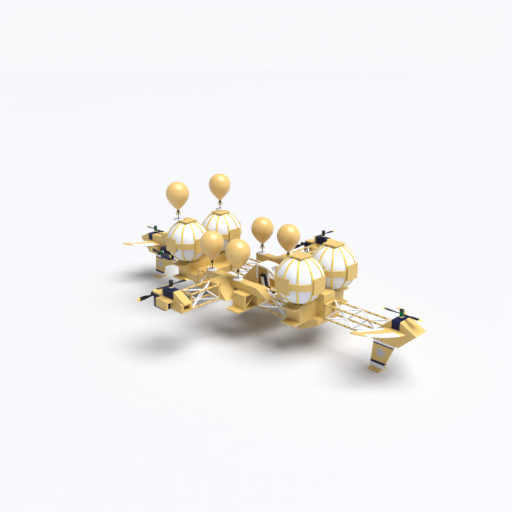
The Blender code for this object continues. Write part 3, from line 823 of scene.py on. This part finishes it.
for node in named("propeller_"):
    spot, axis = SHAFTS[node]
    low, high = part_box(node)
    builder = bmesh.new()
    lathe(builder, HUB_SECTION, HUB_SIDES, Vector((0.0, 0.0, 0.0)))
    for way in (-1, 1):
        blade_mesh(builder, way)
    bmesh.ops.recalc_face_normals(builder, faces=builder.faces)
    mesh = made(builder, node + "_rotor")
    main = max(range(3), key=lambda i: abs(axis[i]))
    span = along(max(range(3), key=lambda i: high[i] - low[i]), 1.0)
    foot = spot.copy()
    foot[main] = low[main] if axis[main] > 0 else high[main]
    turn = Matrix((span.cross(axis), span, axis)).transposed().to_4x4()
    mesh.transform(Matrix.Translation(foot) @ turn)
    paints = [green if node in GREEN_HUBS else black, yellow, white, black]
    piece = shown(node + "_rotor", creased(mesh, HUB_CREASE), node, paints)
    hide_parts(node)

# Balloons
# Party balloons of gold-orange latex on short black stems, each tied off with a yellow bow
# above a round white base.
BALLOON_R = 0.76
BALLOON_SIDES = 48
BALLOON_ROWS = 44
BALLOON_WAIST = 0.60
NECK_H = 0.6
NECK_R = 0.045
NECK_LEAST = 0.05
STEM = [(0.0, 0.0, 0), (0.30, 0.0, 0), (0.32, 0.012, 0), (0.315, 0.04, 0), (0.29, 0.055, 0), (0.06, 0.07, 1),
        (0.028, 0.10, 1), (0.026, 0.42, 1), (0.05, 0.47, 1), (0.085, 0.54, 1), (0.10, 0.60, 1),
        (0.07, 0.64, 1), (0.0, 0.64, 1)]
STEM_SIDES = 32
BALLOON_CREASE = 45
BOW_R = 0.024
BOW_REACH = 0.0525
BOW_LEVEL = 0.46
BOW_RISE = 0.05
BOW_STEPS = 16
BOW_TAIL = [(0.0, 0.45), (0.06, 0.36), (0.09, 0.29)]
latex = finish("balloon_latex", (0.70, 0.465, 0.155), (0.74, 0.50, 0.175), 0.8, 0.34)
preset(latex.node_tree.nodes["Principled BSDF"], Coat_Weight=0.35, Coat_Roughness=0.2)


def turned(name, profile, sides, centre, paints):
    """Shows a turned piece of a balloon."""
    builder = bmesh.new()
    lathe(builder, profile, sides, centre)
    return shown(name, creased(made(builder, name), BALLOON_CREASE), HULL, paints)


def skin_profile(top):
    """Egg-shaped above its waist, and below it drawn down to the neck in a soft cone."""
    rows = [(NECK_R, NECK_H, 0)]
    for i in range(BALLOON_ROWS + 1):
        height = (1.0 - math.cos(math.pi * i / BALLOON_ROWS)) / 2.0
        if height > BALLOON_WAIST:
            width = math.sqrt(max(0.0, 1.0 - ((height - BALLOON_WAIST) / (1.0 - BALLOON_WAIST)) ** 2))
        else:
            width = math.sin(math.pi / 2 * (height / BALLOON_WAIST) ** 0.9) ** 1.1
        if width * BALLOON_R > NECK_LEAST:
            rows.append((width * BALLOON_R, NECK_H + (top - NECK_H) * height, 0))
    return rows + [(0.0, top, 0)]


def bow_lines(foot):
    """Two loops and two tails, spread to both sides of the stem in one plane."""
    lines = []
    for way in (-1, 1):
        loop = []
        for i in range(BOW_STEPS + 1):
            angle = math.tau * i / BOW_STEPS
            loop.append((BOW_REACH * (1.0 - math.cos(angle)), BOW_LEVEL + BOW_RISE * math.sin(angle)))
        for rows in (loop, BOW_TAIL):
            lines.append([foot + Vector((way * out, -way * out, height)) for out, height in rows])
    return lines


for node in named("balloon_"):
    low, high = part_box(node)
    foot = Vector(((low.x + high.x) / 2, (low.y + high.y) / 2, low.z))
    piece = turned(node + "_skin", skin_profile(high.z - low.z), BALLOON_SIDES, foot, [latex])
    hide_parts(node)
    turned(node + "_stem", STEM, STEM_SIDES, foot, [white, black])
    detail(node + "_bow", "balloon", tubes, bow_lines(foot), Radius=BOW_R, Sides=TRIM_SIDES, Paint=yellow)

# Fins
# Tapering plate fins under the nose and the tail stand on square foot pads. White and navy
# bands are painted across them at the root and the foot, with a plain pale star between.
FIN_ROOT = 2.0
FIN_BANDS = [(0.20, 0.375, 1), (0.375, 0.455, 2), (1.48, 1.64, 2), (1.64, 1.90, 1)]
FIN_HALF = 0.06
FIN_EDGE = 0.01
FIN_GAP = 20.0
STAR_R = 0.37
STAR_WAIST = 0.17
STAR_TILT = math.radians(-12)
STAR_T = 0.004
STAR_MIDDLE = Vector((0.0, -9.69, 1.10))
star_paint = finish("star_paint", (0.42, 0.44, 0.50), (0.47, 0.49, 0.55), 3.0, 0.45)


def banded_fin(node):
    """The fin's solid cut along its bands, whose top and bottom are drops below its root."""
    builder = clean_copy(node)
    for top, bottom, band in FIN_BANDS:
        for drop in (top, bottom):
            bmesh.ops.bisect_plane(builder, geom=builder.verts[:] + builder.edges[:] + builder.faces[:],
                                   dist=WELD, plane_co=(0.0, 0.0, FIN_ROOT - drop), plane_no=UPRIGHT)
    for face in builder.faces:
        middle = face.calc_center_median()
        if abs(middle.x) > FIN_HALF + FIN_EDGE:
            continue
        for top, bottom, band in FIN_BANDS:
            if FIN_ROOT - bottom < middle.z < FIN_ROOT - top:
                face.material_index = band
    rounded(builder, sharp_edges(builder, FOLD_ANGLE), FIN_EDGE, EDGE_SEGMENTS, EDGE_PROFILE)
    return made(builder, node + "_blade")


def star_mesh(name, middle):
    """A thin five-pointed star on each face of a fin."""
    builder = bmesh.new()
    for way in (-1, 1):
        rings = []
        for depth in (0.0, STAR_T):
            ring = []
            for i in range(10):
                angle = STAR_TILT + math.pi * i / 5
                reach = STAR_WAIST if i % 2 else STAR_R
                point = Vector((way * (FIN_HALF + depth), reach * math.sin(angle), reach * math.cos(angle)))
                ring.append(builder.verts.new(middle + point))
            rings.append(ring)
        builder.faces.new(rings[0])
        builder.faces.new(rings[1])
        lofted(builder, rings)
    bmesh.ops.recalc_face_normals(builder, faces=builder.faces)
    return made(builder, name)


for end_name, end in ENDS:
    node = f"fin_{end_name}"
    piece = shown(node + "_blade", banded_fin(node), HULL, [gold, white, navy])
    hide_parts(node)
    middle = STAR_MIDDLE + along(1, FIN_GAP if end > 0 else 0.0)
    shown(node + "_star", star_mesh(node + "_star", middle), HULL, [star_paint])

# Wings
# Small swept wings fixed flat to the sides of the nose and the tail. They are lens-shaped
# across, gold along the middle and at the tip, and white along both edges.
WING_PLAN = [(0.50, -11.40, -10.10, 0.115), (0.90, -11.15, -9.90, 0.095), (1.30, -10.85, -9.62, 0.08),
             (1.65, -10.48, -9.40, 0.065), (1.90, -10.15, -9.25, 0.055), (2.12, -9.76, -9.17, 0.042),
             (2.25, -9.42, -9.12, 0.03)]
WING_LEVEL = 2.875
WING_COLUMNS = 20
WING_STEPS = 4
WING_BANDS = (0.28, 0.72)
WING_WHITE = (0.85, 1.95)
WING_GAP = 21.0
WING_CREASE = 50


def wing_mesh(name, side, shift):
    """The wing's skin from its plan, whose rows are distance out, front, back and half thickness."""
    rows = []
    for one, two in zip(WING_PLAN, WING_PLAN[1:]):
        for step in range(WING_STEPS):
            rows.append([a + (b - a) * step / WING_STEPS for a, b in zip(one, two)])
    rows.append(list(WING_PLAN[-1]))
    builder = bmesh.new()
    rings = []
    for out, front, back, half in rows:
        ring = []
        for layer in (1, -1):
            for i in range(WING_COLUMNS + layer):
                share = i / WING_COLUMNS if layer > 0 else 1.0 - (i + 1) / WING_COLUMNS
                rise = half * math.sqrt(max(0.0, 1.0 - (2.0 * share - 1.0) ** 4))
                y = front + (back - front) * share + shift
                ring.append(builder.verts.new((side * out, y, WING_LEVEL + layer * rise)))
        rings.append(ring)

    def paint(row, i):
        share = (i + 0.5) / WING_COLUMNS
        share = min(share, 2.0 - share)
        middle_out = (rows[row][0] + rows[row + 1][0]) / 2
        edge = share < WING_BANDS[0] or share > WING_BANDS[1]
        return int(edge and WING_WHITE[0] < middle_out < WING_WHITE[1])

    lofted(builder, rings, paint)
    builder.faces.new(rings[0])
    builder.faces.new(rings[-1])
    bmesh.ops.recalc_face_normals(builder, faces=builder.faces)
    return creased(made(builder, name), WING_CREASE)


for end_name, end in ENDS:
    for side_name, side in SIDES:
        node = f"wing_{end_name}_{side_name}"
        mesh = wing_mesh(node + "_skin", side, WING_GAP if end > 0 else 0.0)
        piece = shown(node + "_skin", mesh, HULL, [gold, white])
        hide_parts(node)

# Cockpit
# A white enamelled canopy, lined and edged in gold, with a windscreen of tinted acrylic, over a
# bucket seat. The console is a black box with a sloping face, and a sill runs round the tub.
CANOPY_LINE = [(-0.503, 2.12), (-0.503, 3.05), (-0.503, 3.90), (-0.515, 3.97), (-0.58, 3.995),
               (-0.90, 3.995), (-1.42, 3.995), (-2.10, 3.70), (-2.495, 3.20), (-2.495, 2.95), (-2.495, 2.605)]
CORNER_FROM = 5
CORNER_ROUNDS = 3
CANOPY_HALF = 0.496
PANE_T = 0.03
FRAME_W = 0.085
FRAME_DEPTH = 0.11
FRAME_EDGE = 0.01
FRAME_FOLD = 60
CANOPY_CREASE = 35
FRAME_FOOT = 1
TRIM_R = 0.014
SCREEN_FROM = -1.44
SCREEN_ALPHA = 0.3
SILL_R = 0.045
SILL_INSET = 0.05
SILL_END = 0.02
SILL_LIFT = 0.004
CONSOLE = [(-2.38, 2.12), (-1.95, 2.12), (-1.95, 2.42), (-2.18, 2.62), (-2.38, 2.62)]
CONSOLE_HALF = 0.38
CONSOLE_EDGE = 0.02
DIALS = [(-0.24, 0.05), (-0.08, 0.05), (0.08, 0.05), (0.24, 0.05),
         (-0.16, -0.07), (0.0, -0.07), (0.16, -0.07)]
DIAL_MIDDLE = Vector((0.0, -2.065, 2.52))
DIAL_UP = Vector((0.0, -0.23, 0.20)).normalized()
DIAL_OUT = Vector((0.0, 0.20, 0.23)).normalized()
DIAL_R = 0.035
DIAL_T = 0.012
DIAL_SIDES = 20
STICK = [(0.0, -1.86, 2.12), (0.0, -1.84, 2.36), (0.0, -1.80, 2.52)]
STICK_R = 0.018
acrylic = finish("tinted_acrylic", (0.50, 0.56, 0.64), (0.54, 0.60, 0.68), 1.5, 0.12, depth=0.0002)
preset(acrylic.node_tree.nodes["Principled BSDF"], Alpha=SCREEN_ALPHA)


def softened(points, rounds):
    """Cuts the corners of a line again and again, so that it bends smoothly."""
    for turn in range(rounds):
        cut = [points[0]]
        for one, two in zip(points, points[1:]):
            cut.append(one.lerp(two, 0.25))
            cut.append(one.lerp(two, 0.75))
        points = cut + [points[-1]]
    return points


def bent_bar(builder, line, low, high, depth, paints):
    """A flat bar bent along a line in the YZ plane, from low to high across it, with its outer
    and its inner paint."""
    rings = []
    for i, here in enumerate(line):
        onward = (line[min(i + 1, len(line) - 1)] - line[max(i - 1, 0)]).normalized()
        inward = Vector((0.0, -onward.z, onward.y))
        rings.append([builder.verts.new(Vector((x, here.y, here.z)) + inward * step)
                      for x, step in ((low, 0.0), (high, 0.0), (high, depth), (low, depth))])
    lofted(builder, rings, lambda row, i: paints[1] if i == 2 else paints[0])
    builder.faces.new(rings[0]).material_index = paints[0]
    builder.faces.new(rings[-1]).material_index = paints[0]


def prism(name, outline, half, radius):
    """A rounded block of even width, spread to both sides of its outline in the YZ plane."""
    builder = bmesh.new()
    rings = [[builder.verts.new((x, y, z)) for y, z in outline] for x in (-half, half)]
    builder.faces.new(rings[0])
    builder.faces.new(rings[1])
    lofted(builder, rings)
    bmesh.ops.recalc_face_normals(builder, faces=builder.faces)
    rounded(builder, builder.edges[:], radius)
    return made(builder, name)


canopy_line = [Vector((0.0, y, z)) for y, z in CANOPY_LINE]
canopy_line = canopy_line[:CORNER_FROM] + softened(canopy_line[CORNER_FROM:], CORNER_ROUNDS)
roof_end = next(i for i, point in enumerate(canopy_line) if point.y < SCREEN_FROM)
pane_low, pane_high = FRAME_W - CANOPY_HALF, CANOPY_HALF - FRAME_W
builder = bmesh.new()
bent_bar(builder, canopy_line[:roof_end + 1], pane_low, pane_high, PANE_T, (0, 1))
bent_bar(builder, canopy_line[roof_end:], pane_low, pane_high, PANE_T, (2, 2))
rims = []
for way in (-1, 1):
    edge_low, edge_high = sorted((way * CANOPY_HALF, way * (CANOPY_HALF - FRAME_W)))
    bent_bar(builder, canopy_line[:FRAME_FOOT + 1], edge_low, edge_high, FRAME_DEPTH, (1, 1))
    bent_bar(builder, canopy_line[FRAME_FOOT:], edge_low, edge_high, FRAME_DEPTH, (0, 0))
    rims.append([point + along(0, way * CANOPY_HALF) for point in canopy_line[FRAME_FOOT:]])
bmesh.ops.recalc_face_normals(builder, faces=builder.faces)
rounded(builder, sharp_edges(builder, FRAME_FOLD), FRAME_EDGE, EDGE_SEGMENTS, EDGE_PROFILE)
mesh = creased(made(builder, "canopy_shell"), CANOPY_CREASE)
piece = shown("canopy_shell", mesh, HULL, [white, gold, acrylic])
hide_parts("canopy")
detail("canopy_rim", "gold", tubes, rims, Radius=TRIM_R, Sides=TRIM_SIDES, Paint=gold)

low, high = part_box("tub")
sill_z = high.z + SILL_LIFT
sill_y = low.y + SILL_INSET
sill = [[Vector((x, low.y + SILL_END, sill_z)), Vector((x, high.y - SILL_END, sill_z))]
        for x in (low.x + SILL_INSET, high.x - SILL_INSET)]
sill.append([Vector((low.x + SILL_END, sill_y, sill_z)), Vector((high.x - SILL_END, sill_y, sill_z))])
detail("tub_sill", "canopy", tubes, sill, Radius=SILL_R, Sides=BRACE_SIDES, Paint=white)

shown("console", prism("console", CONSOLE, CONSOLE_HALF, CONSOLE_EDGE), HULL, [black])
dials = []
for x, up in DIALS:
    spot = DIAL_MIDDLE + along(0, x) + DIAL_UP * up
    dials.append([spot, spot + DIAL_OUT * DIAL_T])
detail("console_dials", "propeller", tubes, dials, Radius=DIAL_R, Sides=DIAL_SIDES, Paint=yellow)
detail("control_stick", "propeller", tubes, [STICK], Radius=STICK_R, Sides=BRACE_SIDES, Paint=black)

# Seat
# A moulded bucket in navy, with a seat pad and a back pad of navy leather sewn in channels,
# and firm white bolsters on either side of both. The pads are stuffed and swell between seams.
VOXEL = 0.016
PRESSURE = 4.0
SWELL_CAP = 0.026
CLOTH_STEPS = 20
CHANNEL_DEPTH = 0.010
CHANNEL_W = 0.014
PAD_EDGE = 0.3
BACK_LEAN = math.radians(75.3)
BOLSTER_OUT = 0.225
SHELL_EDGE = 0.018
BASE_HALF = 0.29
BASE = [(-0.61, 2.105), (-1.69, 2.105), (-1.69, 2.20), (-1.12, 2.20), (-1.0, 2.37), (-0.61, 2.37)]
BACK_HALF = 0.155
BACK = [(-0.61, 2.38), (-0.93, 2.38), (-0.70, 3.20), (-0.61, 3.23)]
leather = finish("navy_leather", (0.010, 0.014, 0.05), (0.016, 0.022, 0.07), 6.0, 0.5,
                 grain=240.0, depth=0.002)
pale_leather = finish("white_leather", (0.90, 0.91, 0.94), (0.94, 0.95, 0.97), 6.0, 0.5,
                      grain=240.0, depth=0.002)


def settled(item):
    """The item's mesh with its modifiers worked in."""
    return bpy.data.meshes.new_from_object(item.evaluated_get(bpy.context.evaluated_depsgraph_get()))


def pad(name, size, channels, leather_used, matrix):
    """A stuffed pad: a box swollen by cloth pressure, its channels sewn in, set on the shell."""
    builder = bmesh.new()
    bmesh.ops.create_cube(builder, size=1.0)
    bmesh.ops.scale(builder, verts=builder.verts, vec=size)
    rounded(builder, builder.edges[:], min(size) * PAD_EDGE)
    item = bpy.data.objects.new(name, made(builder, name))
    scene.collection.objects.link(item)
    remesh = item.modifiers.new("remesh", "REMESH")
    remesh.mode = "VOXEL"
    remesh.voxel_size = VOXEL
    bpy.context.view_layer.update()
    dense = settled(item)
    item.modifiers.clear()
    item.data = dense
    before = [v.co.copy() for v in dense.vertices]
    cloth = item.modifiers.new("stuffing", "CLOTH")
    cloth.settings.use_pressure = True
    cloth.settings.uniform_pressure_force = PRESSURE
    cloth.settings.effector_weights.gravity = 0.0
    for step in range(1, CLOTH_STEPS + 1):
        scene.frame_set(step)
    swollen = settled(item)
    item.modifiers.clear()
    item.data = swollen
    final = item.data
    for vertex, start in zip(final.vertices, before):
        moved = vertex.co - start
        if moved.length > SWELL_CAP:
            moved *= SWELL_CAP / moved.length
        spot = start + moved
        if spot.z > 0:
            for level in channels:
                spot.z -= CHANNEL_DEPTH * math.exp(-((spot.y - level) / CHANNEL_W) ** 2)
        vertex.co = matrix @ spot
    final.shade_smooth()
    bpy.data.objects.remove(item, do_unlink=True)
    final.name = name
    piece = shown(name, final, HULL, [leather_used])
    smoother = piece.modifiers.new("soft", "SUBSURF")
    smoother.levels = 1
    smoother.render_levels = 1


for name, half, outline in (("seat_base", BASE_HALF, BASE), ("seat_back", BACK_HALF, BACK)):
    piece = shown(name, prism(name, outline, half, SHELL_EDGE), HULL, [navy])
    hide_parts("seat")
seat_set = Matrix.Translation((0.0, -1.40, 2.255))
back_set = Matrix.Translation((0.0, -0.868, 2.80)) @ Matrix.Rotation(BACK_LEAN, 4, "X")
pad("seat_pad", (0.25, 0.46, 0.07), (-0.12, 0.0, 0.12), leather, seat_set)
pad("back_pad", (0.25, 0.70, 0.07), (-0.24, -0.12, 0.0, 0.12, 0.24), leather, back_set)
for side_name, side in SIDES:
    pad(f"seat_bolster_{side_name}", (0.12, 0.48, 0.11), (), pale_leather,
        seat_set @ Matrix.Translation((side * BOLSTER_OUT, 0.0, 0.015)))
    pad(f"back_bolster_{side_name}", (0.12, 0.70, 0.22), (), pale_leather,
        back_set @ Matrix.Translation((side * BOLSTER_OUT, 0.0, -0.045)))
